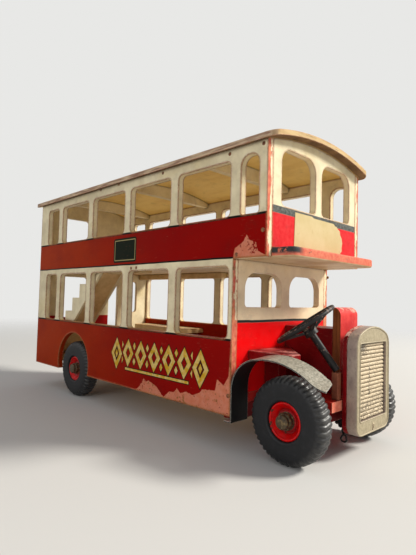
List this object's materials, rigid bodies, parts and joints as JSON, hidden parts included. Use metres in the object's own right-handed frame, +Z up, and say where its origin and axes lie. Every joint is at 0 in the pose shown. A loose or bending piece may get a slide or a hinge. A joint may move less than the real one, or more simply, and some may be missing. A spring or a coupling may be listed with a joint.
{
  "type": "wooden toy double decker bus",
  "caption": "Wooden toy double decker bus, hollow with open windows, rear platform and stairs, driver's half cab, dished steering wheel and free-turning rubber-tyred wheels.",
  "frame": {"origin": "centre of the overall box in plan, on the ground that the tyres stand on", "axes": "+X forward, towards the radiator; +Y to the nearside, where the platform is open; +Z up"},
  "size_m": [0.5064, 0.17, 0.2855],
  "materials": {
    "side_paint": "aged gloss paint",
    "cream_paint": "aged cream paint",
    "front_paint": "aged cream and red paint",
    "red_paint": "aged gloss paint",
    "roof_paint": "weathered paint",
    "tyre_rubber": "matt",
    "hub_red": "chipped gloss paint",
    "black_steel": "worn black paint",
    "rusty_steel": "rusted",
    "guard_tin": "worn tinplate",
    "radiator_metal": "dull cast"
  },
  "bodies": {
    "root": {"side_right": "side_paint", "side_left": "side_paint", "roof_bows": "cream_paint", "rear_panel_upper": "cream_paint", "rear_panel_lower": "cream_paint", "saloon_partition": "cream_paint", "stair_string_right": "cream_paint", "stair_string_left": "cream_paint", "stair_steps": "cream_paint", "stair_soffit": "cream_paint", "bench_left": "cream_paint", "bench_right": "cream_paint", "batten_left": "cream_paint", "batten_right": "cream_paint", "front_panel_upper": "front_paint", "bulkhead_lower": "front_paint", "upper_floor": "front_paint", "lower_floor": "red_paint", "front_bearer": "red_paint", "bonnet_block": "red_paint", "bonnet_front_board": "red_paint", "radiator_board": "red_paint", "driver_seat": "red_paint", "seat_riser": "red_paint", "front_axle_block": "red_paint", "rear_axle_block": "red_paint", "steering_post": "red_paint", "roof": "roof_paint", "steering_wheel": "black_steel", "steering_column": "black_steel", "tow_eye": "black_steel", "front_axle": "rusty_steel", "rear_axle": "rusty_steel", "axle_nuts": "rusty_steel", "mudguard_right": "guard_tin", "radiator_shell": "radiator_metal", "radiator_grille": "radiator_metal"},
    "wheel_front_left": {"tyre_front_left": "tyre_rubber", "hub_front_left": "hub_red"},
    "wheel_front_right": {"tyre_front_right": "tyre_rubber", "hub_front_right": "hub_red"},
    "wheel_rear_left": {"tyre_rear_left": "tyre_rubber", "hub_rear_left": "hub_red"},
    "wheel_rear_right": {"tyre_rear_right": "tyre_rubber", "hub_rear_right": "hub_red"}
  },
  "joints": [
    {"name": "wheel_front_left_spin", "type": "hinge", "parent": "root", "child": "wheel_front_left", "pos_m": [0.20879, 0.06, 0.036], "axis": [0, 1, 0], "continuous": true},
    {"name": "wheel_front_right_spin", "type": "hinge", "parent": "root", "child": "wheel_front_right", "pos_m": [0.20879, -0.06, 0.036], "axis": [0, 1, 0], "continuous": true},
    {"name": "wheel_rear_left_spin", "type": "hinge", "parent": "root", "child": "wheel_rear_left", "pos_m": [-0.12521, 0.068, 0.036], "axis": [0, 1, 0], "continuous": true},
    {"name": "wheel_rear_right_spin", "type": "hinge", "parent": "root", "child": "wheel_rear_right", "pos_m": [-0.12521, -0.068, 0.036], "axis": [0, 1, 0], "continuous": true}
  ]
}
